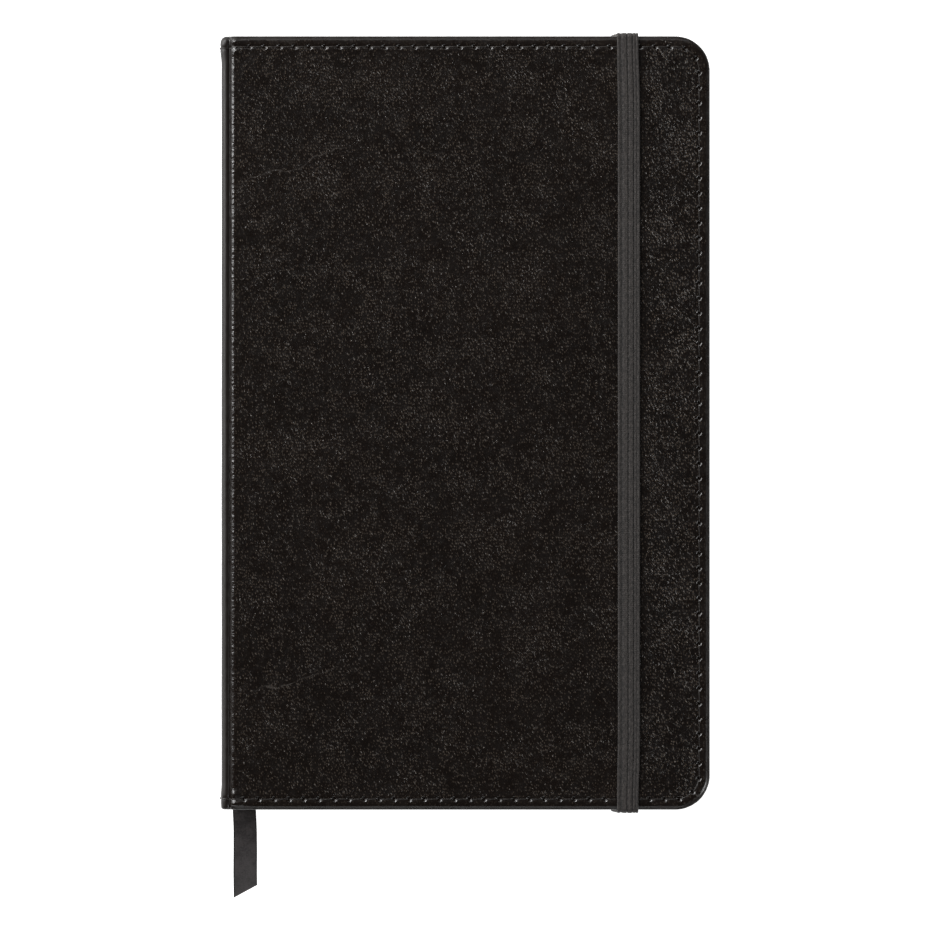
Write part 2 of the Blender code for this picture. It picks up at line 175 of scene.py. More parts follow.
# ---- materials ----
class Shader:
    """A material's node tree, with short calls to add to it."""

    def __init__(self, name, **fixed):
        self.material = bpy.data.materials.new(name)
        self.material.use_nodes = True
        self.tree = self.material.node_tree
        self.surface = self.tree.nodes["Principled BSDF"]
        for key, value in fixed.items():
            self.surface.inputs[key.replace("_", " ")].default_value = value

    def put(self, socket, value):
        if isinstance(value, bpy.types.NodeSocket):
            self.tree.links.new(value, socket)
        elif isinstance(value, tuple) and len(value) == 3 and socket.type == "RGBA":
            socket.default_value = (*value, 1.0)
        else:
            socket.default_value = value

    def node(self, kind, settings=None, **inputs):
        made = self.tree.nodes.new("ShaderNode" + kind)
        for key, value in (settings or {}).items():
            setattr(made, key, value)
        for key, value in inputs.items():
            self.put(made.inputs[key], value)
        return made

    def math(self, operation, *values, clamp=False):
        made = self.node("Math", {"operation": operation, "use_clamp": clamp})
        for socket, value in zip(made.inputs, values):
            self.put(socket, value)
        return made.outputs[0]

    def times(self, a, b):
        return self.math("MULTIPLY", a, b)

    def plus(self, a, b):
        return self.math("ADD", a, b)

    def vector(self, operation, a, b):
        made = self.node("VectorMath", {"operation": operation})
        self.put(made.inputs[0], a)
        self.put(made.inputs[3 if operation == "SCALE" else 1], b)
        return made.outputs[0]

    def vector_dot(self, a, b):
        made = self.node("VectorMath", {"operation": "DOT_PRODUCT"})
        self.put(made.inputs[0], a)
        self.put(made.inputs[1], b)
        return made.outputs["Value"]

    def rest(self):
        return self.node("Attribute", {"attribute_name": "rest"}).outputs["Vector"]

    def number(self, name):
        return self.node("Attribute", {"attribute_name": name}).outputs["Fac"]

    def object(self):
        return self.node("TexCoord").outputs["Object"]

    def noise(self, where, scale, detail=3.0, roughness=0.55):
        made = self.node("TexNoise", Vector=where, Scale=scale, Detail=detail, Roughness=roughness)
        return made.outputs["Fac"]

    def ramp(self, value, low, high, to_low=0.0, to_high=1.0):
        made = self.node("MapRange", {"interpolation_type": "SMOOTHSTEP"}, Value=value)
        for key, number in (("From Min", low), ("From Max", high), ("To Min", to_low), ("To Max", to_high)):
            made.inputs[key].default_value = number
        return made.outputs[0]

    def mix(self, share, first, second):
        made = self.node("Mix", {"data_type": "RGBA"})
        self.put(made.inputs[0], share)
        self.put(made.inputs[6], first)
        self.put(made.inputs[7], second)
        return made.outputs[2]

    def axis(self, where, name):
        return self.node("SeparateXYZ", Vector=where).outputs[name]

    def colour(self, value):
        self.put(self.surface.inputs["Base Color"], value)

    def rough(self, value):
        self.put(self.surface.inputs["Roughness"], value)

    def sine(self, where, pitch):
        return self.math("SINE", self.times(where, 2 * math.pi / pitch))

    def blend_of(self, first, first_share, second, second_share):
        return self.plus(self.times(first, first_share), self.times(second, second_share))

    def bump(self, height, distance):
        made = self.node("Bump", Height=height, Distance=distance, Strength=1.0)
        self.put(self.surface.inputs["Normal"], made.outputs["Normal"])


def leather_material():
    """Near-black pebbled leather. The grain attribute fades its pebbles; ridge adds folds across."""
    s = Shader("leather_black_pebbled")
    rest = s.rest()
    grain, ridge = s.number("grain"), s.number("ridge")
    # pebbles in uneven lines, longer up the book than across it
    warp = s.node("TexNoise", Vector=rest, Scale=1300.0, Detail=2.0).outputs["Color"]
    warp = s.vector("SUBTRACT", warp, (0.5, 0.5, 0.5))
    bent = s.vector("ADD", rest, s.vector("SCALE", warp, 0.0003))
    flow = s.node("TexNoise", Vector=rest, Scale=120.0, Detail=1.0).outputs["Color"]
    flow = s.vector("SUBTRACT", flow, (0.5, 0.5, 0.5))
    bent = s.vector("ADD", bent, s.vector("SCALE", flow, 0.0009))
    bent = s.vector("MULTIPLY", bent, (1.12, 0.62, 1.0))
    layout = {"Vector": bent, "Scale": 3000.0, "Randomness": 0.75}
    pebbles = s.node("TexVoronoi", {"feature": "F1"}, **layout)
    cells = pebbles.outputs["Distance"]
    edges = s.node("TexVoronoi", {"feature": "DISTANCE_TO_EDGE"}, **layout)
    valley = s.ramp(edges.outputs["Distance"], 0.0, 0.14)
    dome = s.math("SUBTRACT", 1.0, s.times(s.times(cells, cells), 2.4))
    fine = s.noise(rest, 5200.0, 3.0, 0.6)
    patches = s.ramp(s.noise(rest, 130.0, 3.0), 0.3, 0.7, 0.72, 1.0)
    height = s.times(s.times(valley, dome), patches)
    height = s.plus(height, s.times(fine, 0.25))
    height = s.times(height, grain)
    # short folds across the raised edge beside the groove
    stretched = s.node("Mapping", Vector=rest)
    stretched.inputs["Scale"].default_value = (0.35, 1.6, 1.0)
    folds = s.noise(stretched.outputs[0], 900.0, 2.0)
    height = s.plus(height, s.times(folds, s.times(ridge, 5.0)))
    creases = [crease(s, rest, start, end) for start, end in CREASES]
    for line in creases:
        height = s.math("SUBTRACT", height, line)
    s.bump(height, 0.000025)
    # colour: darker between the pebbles, partly dye settled there and partly painted shade, and pale dots
    # painted on pebble tops as painted highlights
    tone = s.ramp(s.noise(rest, 60.0, 4.0), 0.3, 0.7)
    base = s.mix(tone, (0.0050, 0.0028, 0.0018), (0.0066, 0.0038, 0.0025))
    # painted shade: the valleys between the pebbles are darkened, partly as dye settled there
    deep = s.times(s.math("SUBTRACT", 1.0, valley), s.times(grain, 0.7))
    base = s.mix(deep, base, (0.0018, 0.0012, 0.0010))
    # painted highlights: pale dots on chosen pebble tops stand in for glints
    chosen = s.ramp(s.axis(pebbles.outputs["Color"], "X"), 0.0, 1.0, 0.55, 1.0)
    painted_glints = s.times(s.ramp(cells, 0.10, 0.40, 1.0, 0.0), chosen)
    painted_glints = s.times(painted_glints, s.ramp(s.noise(rest, 150.0, 3.0), 0.3, 0.7, 0.82, 1.0))
    base = s.mix(s.times(painted_glints, s.times(grain, 0.8)), base, (0.096, 0.076, 0.059))
    for line in creases:
        base = s.mix(line, base, (0.052, 0.045, 0.040))
    base = s.mix(s.times(ridge, 0.10), base, (0.020, 0.016, 0.014))
    s.colour(base)
    rough = s.ramp(s.noise(rest, 700.0, 3.0), 0.3, 0.7, 0.26, 0.34)
    s.rough(s.plus(rough, s.times(s.number("bare"), 0.16)))
    return s.material


def crease(s, rest, start, end):
    """A faint line where the leather has been bent, as a share of the pebbles' height."""
    start, end = Vector(start), Vector(end)
    along = (end - start).normalized()
    away = s.vector("SUBTRACT", rest, tuple(start))
    run = s.vector_dot(away, tuple(along))
    wander = s.times(s.math("SUBTRACT", s.noise(rest, 160.0, 3.0), 0.5), 0.0050)
    off = s.plus(s.vector_dot(away, (-along.y, along.x, 0.0)), wander)
    broken = s.ramp(s.noise(rest, 800.0, 2.0), 0.40, 0.60, 0.15, 0.65)
    line = s.times(s.ramp(s.math("ABSOLUTE", off), 0.0, 0.00023, 1.0, 0.0), broken)
    length = (end - start).length
    ends = s.times(s.ramp(run, -0.001, 0.004), s.ramp(run, length - 0.004, length, 1.0, 0.0))
    return s.times(line, ends)


def thread_material(name, dark, light, scale):
    s = Shader(name)
    rest = s.rest()
    plies = s.noise(rest, scale, 3.0)
    s.colour(s.mix(s.ramp(plies, 0.35, 0.65), dark, light))
    s.rough(s.ramp(plies, 0.3, 0.7, 0.34, 0.5))
    s.bump(plies, 0.00004)
    return s.material


def elastic_material():
    """Knitted elastic: raised cords painted lighter and the grooves and rounded edges painted darker as
    painted shade, and fine courses across them.
    """
    s = Shader("woven_elastic", Sheen_Weight=0.15, Sheen_Roughness=0.4)
    rest = s.rest()
    along = s.number("along")
    across = s.number("across")
    jitter = s.times(s.math("SUBTRACT", s.noise(rest, 1500.0, 2.0), 0.5), 0.0004)
    course = s.sine(s.plus(along, jitter), 0.00036)
    yarn = s.sine(s.plus(across, s.times(jitter, 0.4)), 0.00021)
    weave = s.times(s.plus(course, s.times(yarn, 0.6)), 0.12)
    drawn = s.node("Mapping", Vector=rest)
    drawn.inputs["Scale"].default_value = (1.0, 0.55, 1.0)
    fibre = s.ramp(s.noise(drawn.outputs[0], 3000.0, 3.0, 0.65), 0.32, 0.68)
    weave = s.plus(weave, s.times(fibre, 0.6))
    s.bump(weave, 0.00006)
    # painted shade: the cord share darkens the grooves and rounded edges and lightens the raised cords; the
    # fibre noise is the yarn's own mottle
    cord = s.number("cord")
    shade = s.math("SUBTRACT", s.times(fibre, 0.75), 0.12)
    shade = s.math("ADD", s.times(cord, 0.40), shade, clamp=True)
    s.colour(s.mix(shade, (0.0046, 0.0038, 0.0034), (0.0365, 0.0305, 0.0275)))
    s.rough(s.ramp(weave, 0.0, 0.8, 0.8, 0.65))
    return s.material


def ribbon_material():
    """Satin ribbon: fine cross ribs, long soft streaks and dark woven edges."""
    s = Shader("satin_ribbon", Sheen_Weight=0.2, Sheen_Roughness=0.35)
    rest = s.rest()
    across = s.number("across")
    along = s.number("along")
    stretched = s.node("Mapping", Vector=rest)
    stretched.inputs["Scale"].default_value = (1.0, 0.12, 1.0)
    streaks = s.noise(stretched.outputs[0], 2600.0, 3.0)
    ribs = s.sine(along, 0.00024)
    fine = s.noise(rest, 3500.0, 3.0)
    height = s.plus(s.times(ribs, 0.10), s.blend_of(fine, 0.7, streaks, 0.5))
    mottle = s.noise(rest, 420.0, 4.0)
    s.bump(s.plus(height, s.times(mottle, 1.5)), 0.00005)
    edge = s.ramp(s.math("ABSOLUTE", across), 0.00178, 0.00200)
    cloudy = s.ramp(s.blend_of(mottle, 0.5, fine, 0.5), 0.38, 0.62)
    body = s.mix(cloudy, (0.0165, 0.0136, 0.0136), (0.048, 0.0410, 0.0418))
    s.colour(s.mix(edge, body, (0.004, 0.0035, 0.0035)))
    s.rough(s.ramp(fine, 0.3, 0.7, 0.42, 0.58))
    return s.material


def paper_material(name, light, dark, ruled=False, own=True):
    """Ivory paper with faint fibres. Ruled leaves have thin grey lines across."""
    s = Shader(name)
    where = s.rest() if own else s.object()
    cloud = s.noise(where, 220.0, 5.0)
    fibre = s.noise(where, 2600.0, 4.0, 0.65)
    base = s.mix(s.ramp(s.blend_of(cloud, 0.5, fibre, 0.5), 0.35, 0.65), dark, light)
    if ruled:
        y = s.axis(where, "Y")
        step = s.math("PINGPONG", s.plus(y, 0.5), 0.003)
        line = s.ramp(step, 0.00006, 0.00013, 1.0, 0.0)
        inside = s.ramp(y, BLOCK_HALF - 13 * MM, BLOCK_HALF - 12.9 * MM, 1.0, 0.0)
        line = s.times(line, s.times(inside, s.number("flat")))
        base = s.mix(s.times(line, 0.45), base, (0.36, 0.37, 0.40))
    s.colour(base)
    s.rough(s.ramp(fibre, 0.3, 0.7, 0.78, 0.92))
    s.bump(fibre, 0.00002)
    return s.material


def cloth_material(name, light, dark, pitch):
    """Plain woven cotton, for pieces deep in the book."""
    s = Shader(name)
    where = s.object()
    y = s.sine(s.axis(where, "Y"), pitch)
    z = s.sine(s.axis(where, "Z"), pitch)
    weave = s.plus(s.times(s.times(y, z), 0.5), 0.5)
    fibre = s.noise(where, 3000.0, 3.0)
    s.colour(s.mix(s.times(s.plus(weave, fibre), 0.5), dark, light))
    s.rough(s.ramp(fibre, 0.3, 0.7, 0.8, 0.95))
    s.bump(weave, 0.00006)
    return s.material


def board_material():
    """Grey bookbinder's board, pressed from mixed fibres."""
    s = Shader("greyboard")
    where = s.object()
    flecks = s.noise(where, 1800.0, 5.0, 0.7)
    layers = s.noise(where, 300.0, 3.0)
    pressed = s.ramp(s.blend_of(flecks, 0.6, layers, 0.4), 0.3, 0.7)
    s.colour(s.mix(pressed, (0.22, 0.20, 0.175), (0.36, 0.34, 0.30)))
    s.rough(s.ramp(flecks, 0.3, 0.7, 0.85, 0.95))
    s.bump(flecks, 0.00005)
    return s.material


def striped_material():
    """Head band cloth: dark and pale turns of thread by turns."""
    s = Shader("head_band_stripes")
    rest = s.rest()
    turn = s.sine(s.axis(rest, "Z"), 0.0009)
    fibre = s.noise(rest, 3000.0, 3.0)
    s.colour(s.mix(s.ramp(turn, -0.2, 0.2), (0.02, 0.018, 0.017), (0.55, 0.52, 0.46)))
    s.rough(s.ramp(fibre, 0.3, 0.7, 0.55, 0.75))
    s.bump(fibre, 0.00004)
    return s.material


def floor_material():
    s = Shader("pale_table", Emission_Color=(1.0, 1.0, 1.0, 1.0), Emission_Strength=1.0)
    where = s.object()
    grit = s.noise(where, 900.0, 3.0)
    s.colour(s.mix(grit, (0.80, 0.80, 0.80), (0.84, 0.84, 0.84)))
    s.rough(s.ramp(grit, 0.3, 0.7, 0.85, 0.95))
    return s.material


# ---- the cover's leather ----
def edge_point(t, inset):
    """The cover's outline moved in by inset, at t along the row of stitches from head to tail."""
    radius = max(CORNER - inset, 0.4 * MM)
    centre_x = FORE_X - inset - radius
    centre_y = HALF - inset - radius
    if t < STRAIGHT:
        return START_X + t / STRAIGHT * (centre_x - START_X), HALF - inset
    t -= STRAIGHT
    if t < ARC:
        angle = math.pi / 2 - t / STITCH_ROW
        return centre_x + radius * math.cos(angle), centre_y + radius * math.sin(angle)
    t -= ARC
    if t < SIDE:
        return FORE_X - inset, centre_y * (1 - 2 * t / SIDE)
    t -= SIDE
    if t < ARC:
        angle = -t / STITCH_ROW
        return centre_x + radius * math.cos(angle), -centre_y + radius * math.sin(angle)
    t -= ARC
    return centre_x - t / STRAIGHT * (centre_x - START_X), inset - HALF


def stitch_places(seed):
    """Where each stitch hole is along the row, a little unevenly."""
    uneven = random.Random(seed)
    return [FIRST_STITCH + k * PITCH + uneven.uniform(-0.05, 0.05) * MM for k in range(STITCHES)]


def coarse_places():
    step = PITCH / COARSE_PER_STITCH
    places = [d * MM for d in HEAD_STEPS]
    places += [FIRST_STITCH + k * step for k in range((STITCHES - 1) * COARSE_PER_STITCH)]
    places += [ROW_LENGTH - d * MM for d in TAIL_STEPS]
    return places


def divided(ends):
    """Each step between ends, cut in FINE_PER_COARSE."""
    steps = zip(ends, ends[1:])
    return [a + (b - a) * k / FINE_PER_COARSE for a, b in steps for k in range(FINE_PER_COARSE)]


def fine_places(holes):
    """Points along the row, gathered round each hole."""
    near = [0.0, 0.10, 0.20, 0.31, 0.44, 0.62]  # mm from the hole
    places = divided([d * MM for d in HEAD_STEPS] + [holes[0]])
    for hole, following in zip(holes, holes[1:]):
        places += [hole + d * MM for d in near]
        places += [(hole + following) / 2]
        places += [following - d * MM for d in reversed(near[1:])]
    places += divided([holes[-1]] + [ROW_LENGTH - d * MM for d in TAIL_STEPS[1:]])
    return places + [ROW_LENGTH]


# rings from the field out to the edge, over it and in under the board: (inset, depth) in mm
FIELD_RINGS = (
    (3.0, 0), (2.75, 0), (2.54, 0), (2.36, 0), (2.23, 0), (2.12, 0), (2.02, 0), (1.92, 0),
    (1.82, 0), (1.72, 0), (1.61, 0), (1.48, 0), (1.3, 0), (1.12, 0), (0.94, 0), (0.79, 0.01),
)
EDGE_RINGS = (
    (0.68, 0.035), (0.57, 0.08), (0.47, 0.135), (0.39, 0.19), (0.28, 0.275), (0.17, 0.365), (0.08, 0.44),
    (0.025, 0.52), (0.004, 0.66), (0.0, 0.9), (0.01, 1.75), (0.06, 2.0), (0.17, 2.19), (0.33, 2.31),
    (0.55, 2.35), (2.2, 2.35), (5.0, 2.35), (8.0, 2.34), (8.05, 2.0),
)
ROLLING_FROM = 1.5 * MM             # rings nearer the edge than this make the spine's rounded ends
SPINE_ROLL = {1: 1.25 * MM, -1: 0.60 * MM}  # those ends' radii, at the head and the tail
COARSE_INSET = 3.5 * MM
HINGE_SLOPE = 0.55                 # how steeply the leather sinks towards the groove
HINGE_TOP = 0.62 * MM              # where it starts to, from the cover's spine edge


def drop(x):
    """How far the cover's face lies below its highest level, near the groove."""
    before = HINGE_TOP - (x - START_X)
    return HINGE_SLOPE * (before + math.sqrt(before * before + 1e-8)) / 2


HINGE_DROP = drop(START_X)


def spine_ring(ring, end):
    """A ring's inset and depth where it rounds the spine's end. end is 1 at the head, -1 at the tail."""
    rings = FIELD_RINGS + EDGE_RINGS
    inset, depth = rings[ring][0] * MM, rings[ring][1] * MM
    first = next(k for k, r in enumerate(rings) if r[0] * MM < ROLLING_FROM)
    last = next(k for k, r in enumerate(rings) if r[1] >= 0.9)
    radius = SPINE_ROLL[end]
    if ring > last:
        return inset, radius + 0.04 * depth
    if ring < first:
        return inset, 0.0
    angle = math.pi / 2 * (ring - first) / (last - first)
    start = rings[first][0] * MM
    eased = start + (radius - start) * smooth(angle / 0.5)
    return eased * (1 - math.sin(angle)), radius * (1 - math.cos(angle))


def undulation(x, y, side):
    """Slow unevenness of leather pasted on board."""
    slow = noise.noise(Vector((x / 0.021, y / 0.026, 3.0 + side)))
    middle = noise.noise(Vector((x / 0.0062, y / 0.0062, 9.0 + side)))
    return (0.030 * slow + 0.014 * middle) * MM


def pucker(x, inset):
    """Leather gathered where a row of stitches runs over the board's spine edge."""
    along = bell(x - START_X - 0.9 * MM, 0.9 * MM)
    return 0.20 * MM * along * (bell(inset - 1.0 * MM, 0.5 * MM) + bell(inset - 2.9 * MM, 0.55 * MM))


def openness(x, side):
    """How strongly the grain shows: a little more beyond the elastic, where the pebbles, their painted
    highlight dots and the painted shade between them are all stronger.
    """
    return 1.0 + 0.36 * smooth((x - band_high.x) / (2 * MM)) if side > 0 else 1.0


def nearest_hole(t, holes):
    k = min(max(round((t - FIRST_STITCH) / PITCH), 0), STITCHES - 1)
    return t - holes[k]


def relief(t, inset, holes):
    """The face's height at the stitching: a pressed channel, and holes with raised rims."""
    across = inset - STITCH_INSET
    along = nearest_hole(t, holes)
    height = -0.055 * MM * bell(across, 0.30 * MM)
    height += 0.02 * MM * (bell(across - 0.66 * MM, 0.3 * MM) + bell(across + 0.66 * MM, 0.3 * MM))
    slit_a = (along - across) * math.sqrt(0.5)
    slit_b = (along + across) * math.sqrt(0.5)
    near = math.hypot(slit_a / 0.78, slit_b)
    height -= 0.29 * MM * max(0.0, 1 - near / (0.60 * MM)) + 0.26 * MM * bell(near, 0.12 * MM)
    height += 0.05 * MM * bell(near - 0.66 * MM, 0.16 * MM)
    return height, 1 - bell(near, 0.5 * MM)


def spine_flare(y):
    """How far the spine spreads at its ends, more at the head."""
    return 0.22 * MM * (1.0 if y > 0 else 0.55)


def strip_profile():
    """The spine leather's outside in XZ, from the front cover's edge to the back cover's edge."""
    left = SPINE_X
    # the groove and the spine's own raised edge: (in from the spine's back, depth) in mm
    near = (
        (1.78, 0.41), (1.70, 0.49), (1.62, 0.61), (1.54, 0.72),
        (1.46, 0.75), (1.38, 0.72), (1.28, 0.66), (1.18, 0.61),
    )
    points = [(START_X, HINGE_DROP)] + [(left + x * MM, d * MM) for x, d in near]
    radius = 1.1 * MM
    for k in range(1, 11):
        angle = math.radians(90 + 9 * k)
        x = left + radius + radius * math.cos(angle)
        points.append((x, 0.575 * MM + radius - radius * math.sin(angle)))
    upper = [(x, TOP - d) for x, d in points]
    lower = [(x, d) for x, d in reversed(points)]
    middle = []
    for k in range(1, 8):
        share = k / 8
        middle.append((left, upper[-1][1] * (1 - share) + lower[0][1] * share))
    return upper + middle + lower


def strip_normals(profile):
    normals = []
    for k, (x, z) in enumerate(profile):
        a = profile[max(k - 1, 0)]
        b = profile[min(k + 1, len(profile) - 1)]
        along = Vector((b[0] - a[0], 0, b[1] - a[1])).normalized()
        normals.append(Vector((along.z, 0, -along.x)))
    return normals


def cover_skin(name, side, made_of, with_spine):
    """One cover's leather, stitched and turned in over three edges. side is 1 for front, -1 for back."""
    holes = stitch_places(11 if side > 0 else 23)
    coarse, fine = coarse_places(), fine_places(holes)
    rows = len(coarse) - 1 - 2 * COLUMNS
    mesh = Mesh()
    grain, ridge, bare = [], [], []

    def level(depth):
        return TOP - depth if side > 0 else depth

    def put(x, y, depth, grained, ridged=0.0, pressed=0.0):
        grain.append(grained)
        ridge.append(ridged)
        bare.append(-0.8 * pressed - 0.5 * ridged)
        return mesh.add((x, y, level(depth)))

    def ridge_at(x):
        return bell(x - START_X - 0.30 * MM, 0.45 * MM)

    # the field, as a grid between the four sides
    border = [Vector(edge_point(t, COARSE_INSET)) for t in coarse]
    last = len(coarse) - 1
    head = border[: COLUMNS + 1]
    tail = [border[last - k] for k in range(COLUMNS + 1)]
    fore = [border[COLUMNS + rows - k] for k in range(rows + 1)]
    field = []
    spine_x, fore_x = head[0].x + tail[0].x, head[-1].x + tail[-1].x
    for i in range(COLUMNS + 1):
        column = []
        u = (head[i].x + tail[i].x - spine_x) / (fore_x - spine_x)
        for j in range(rows + 1):
            v = (fore[j].y - fore[0].y) / (fore[-1].y - fore[0].y)
            spine_side = tail[0].lerp(head[0], v)
            p = spine_side * (1 - u) + fore[j] * u + tail[i] * (1 - v) + head[i] * v
            p -= (tail[0] * (1 - u) + tail[-1] * u) * (1 - v) + (head[0] * (1 - u) + head[-1] * u) * v
            inset = min(FORE_X - p.x, HALF - abs(p.y))
            depth = drop(p.x) - undulation(p.x, p.y, side) - pucker(p.x, inset)
            grained = openness(p.x, side) * (1.0 - 0.85 * ridge_at(p.x))
            column.append(put(p.x, p.y, depth, grained, ridge_at(p.x)))
        field.append(column)
    for i in range(COLUMNS):
        for j in range(rows):
            mesh.faces.append((field[i][j], field[i + 1][j], field[i + 1][j + 1], field[i][j + 1]))
    inner = [field[k][rows] for k in range(COLUMNS)]
    inner += [field[COLUMNS][rows - k] for k in range(rows)]
    inner += [field[COLUMNS - k][0] for k in range(COLUMNS + 1)]

    # the border rings
    rings = []
    for inset, depth in FIELD_RINGS + EDGE_RINGS:
        inset, depth = inset * MM, depth * MM
        outside = depth < 0.03 * MM
        ring = []
        for t in fine:
            x, y = edge_point(t, inset)
            sunk = drop(x)
            down = sunk + depth * (COVER_DEPTH - sunk) / COVER_DEPTH
            grained, plain = 0.25, 1.0
            if outside:
                down -= undulation(x, y, side) * min(inset / (1.2 * MM), 1.0) + pucker(x, inset)
                raised, plain = relief(t, inset, holes)
                down -= raised
                grained = 0.45 + 0.55 * smooth((inset - 1.5 * MM) / (1.4 * MM))
                grained *= plain * openness(x, side) * (1 - 0.85 * ridge_at(x))
            ring.append(put(x, y, down, grained, ridge_at(x) if outside else 0.0, 1 - plain))
        rings.append(ring)
    for q in range(last):
        first = FINE_PER_COARSE * q
        outer = [rings[0][first + k] for k in range(FINE_PER_COARSE, -1, -1)]
        mesh.faces.append((inner[q], inner[q + 1], *outer))
    for ring, beyond in zip(rings, rings[1:]):
        for k in range(len(fine) - 1):
            mesh.faces.append((beyond[k], ring[k], ring[k + 1], beyond[k + 1]))

    if with_spine:
        # one column of points from the tail's turned-in edge to the head's
        tail_side = [ring[-1] for ring in reversed(rings)]
        head_side = [ring[0] for ring in rings]
        column = tail_side + [field[0][j] for j in range(rows + 1)] + head_side
        insets = [(i * MM, d * MM) for i, d in FIELD_RINGS + EDGE_RINGS]
        profile = strip_profile()
        normals = strip_normals(profile)
        for k in range(1, len(profile)):
            (x, z), normal = profile[k], normals[k]
            from_front = smooth((START_X - x) / (0.75 * MM))
            ahead = Vector((0, 0, 1 if z > TOP / 2 else -1)).lerp(normal, from_front).normalized()
            on_back = smooth((START_X - x) / (1.5 * MM))
            new = []
            for row in range(len(column)):
                if row < len(insets):
                    end, (inset, depth) = -1, insets[len(insets) - 1 - row]
                elif row >= len(column) - len(insets):
                    end, (inset, depth) = 1, insets[row - len(column) + len(insets)]
                else:
                    end, inset, depth = 0, None, 0.0
                base = Vector((x, 0, z))
                if end:
                    ring = len(insets) - 1 - row if end < 0 else row - len(column) + len(insets)
                    spine_inset, spine_depth = spine_ring(ring, end)
                    at_cover = depth * (COVER_DEPTH - HINGE_DROP) / COVER_DEPTH
                    depth_here = at_cover * (1 - from_front) + spine_depth * from_front
                    inset_here = inset * (1 - from_front) + spine_inset * from_front
                    y = end * (HALF - inset_here)
                    across = inset_here - 2.1 * MM
                    groove = 0.10 * MM * bell(across, 0.28 * MM) if depth == 0 else 0.0
                    point = base - ahead * (depth_here + groove)
                else:
                    y = row_height(fore, row - len(insets))
                    point = base.copy()
                flare = spine_flare(y) * smooth((abs(y) - (HALF - 5.0 * MM)) / (2.6 * MM))
                point.x -= flare * on_back
                wave = noise.noise(Vector((x / 0.002, y / 0.011, 20.0 + z / 0.006)))
                point.x -= 0.035 * MM * wave * on_back
                grain.append(0.05)
                ridge.append(ridge_at(x) * 0.5)
                bare.append(on_back)
                new.append(mesh.add((point.x, y, point.z)))
            for row in range(len(column) - 1):
                mesh.faces.append((new[row], column[row], column[row + 1], new[row + 1]))
            column = new
    if side < 0:
        mesh.faces = [tuple(reversed(face)) for face in mesh.faces]
    shown = {"grain": grain, "ridge": ridge, "bare": bare}
    return piece(name, mesh.points, mesh.faces, made_of, shown), holes


def row_height(fore, row):
    """Where one of the field's rows meets the spine, up the book."""
    v = (fore[row].y - fore[0].y) / (fore[-1].y - fore[0].y)
    return (HALF - COARSE_INSET) * (2 * v - 1)


# ---- stitches ----
def row_point(t, outward, depth, side):
    """A point on the row of stitches, moved out from it, below the face."""
    x, y = edge_point(t, STITCH_INSET - outward)
    depth += drop(x)
    return Vector((x, y, TOP - depth if side > 0 else depth))


# a stitch as it leaves its hole: (along the row, across it, depth) in mm
LEAVING = ((0.02, 0.03, 0.55), (0.08, 0.05, 0.42), (0.22, 0.05, 0.22), (0.42, 0.04, 0.09), (0.66, 0.02, 0.03))


def stitches(mesh, holes, side):
    """A separate run of thread from each hole to the next, slanted a little across the row."""
    for here, following in zip(holes, holes[1:]):
        path = []
        for along, across, depth in LEAVING:
            path.append(row_point(here + along * MM, -across * MM, depth * MM, side))
        path.append(row_point((here + following) / 2, 0.0, 0.06 * MM, side))
        for along, across, depth in reversed(LEAVING):
            path.append(row_point(following - along * MM, across * MM, depth * MM, side))
        mesh.tube(path, THREAD, sides=8)


def spine_turn(around, behind, y_side, front_hole, back_hole):
    """The thread from the front cover's end hole round the spine, and on to the back cover's."""
    profile, path = strip_profile(), []
    normals = strip_normals(profile)
    inset = STITCH_INSET + 0.15 * MM
    flare = spine_flare(y_side)
    for k in range(9, 0, -1):
        t = front_hole * k / 9
        depth = 0.40 * bell(t - front_hole, 0.18 * MM) + 0.02
        path.append(row_point(t if y_side > 0 else ROW_LENGTH - t, 0.0, depth * MM, 1))
    for k, ((x, z), normal) in enumerate(zip(profile, normals)):
        lift = 0.02 * MM + 0.10 * MM * smooth((START_X - x) / (1.6 * MM))
        slant = 0.45 * MM * (k / len(profile) - 0.5)
        x -= flare * smooth((START_X - x) / (1.5 * MM))
        path.append(Vector((x, y_side * (HALF - inset) + slant, z)) + normal * lift)
    around.tube(path, THREAD, sides=8)
    path = path[-1:]
    for k in range(1, 10):
        t = back_hole * k / 9
        depth = 0.40 * bell(t - back_hole, 0.18 * MM) + 0.02
        path.append(row_point(t if y_side > 0 else ROW_LENGTH - t, 0.0, depth * MM, -1))
    behind.tube(path, THREAD, sides=8)


# ---- elastic ----
BAND_MIDDLE = (band_low.x + band_high.x) / 2
BAND_HALF = (band_high.x - band_low.x) / 2
BAND_THICK = 0.55 * MM
# between its cords: (how far sideways, width, depth) in mm
GROOVES = ((-1.28, 0.26, 0.10), (-0.13, 0.09, 0.17), (0.88, 0.09, 0.17), (1.48, 0.10, 0.08))
BAND_STEPS = 56


def band_section():
    """Across the band: (sideways, height as a share of its thickness, how much it is a raised cord)."""
    upper = []
    for k in range(BAND_STEPS + 1):
        u = -BAND_HALF + 2 * BAND_HALF * k / BAND_STEPS
        lost = sum(depth * bell(u / MM - centre, width) for centre, width, depth in GROOVES)
        edge = 1 - math.sqrt(max(0.0, 1 - max(0.0, (abs(u) - BAND_HALF + 0.22 * MM) / (0.22 * MM)) ** 2))
        top = 0.5 - lost / (BAND_THICK / MM) - 0.42 * edge
        # the cord share, low in the grooves and at the rounded edges, sets the painted shade there
        upper.append((u, top, max(0.0, 1 - lost / 0.10) * (1 - 0.4 * edge)))
    lower = [(k / 2 * BAND_HALF, -0.42 if abs(k) == 2 else -0.5, 0.4) for k in (-2, -1, 0, 1, 2)]
    return upper[::-1] + lower


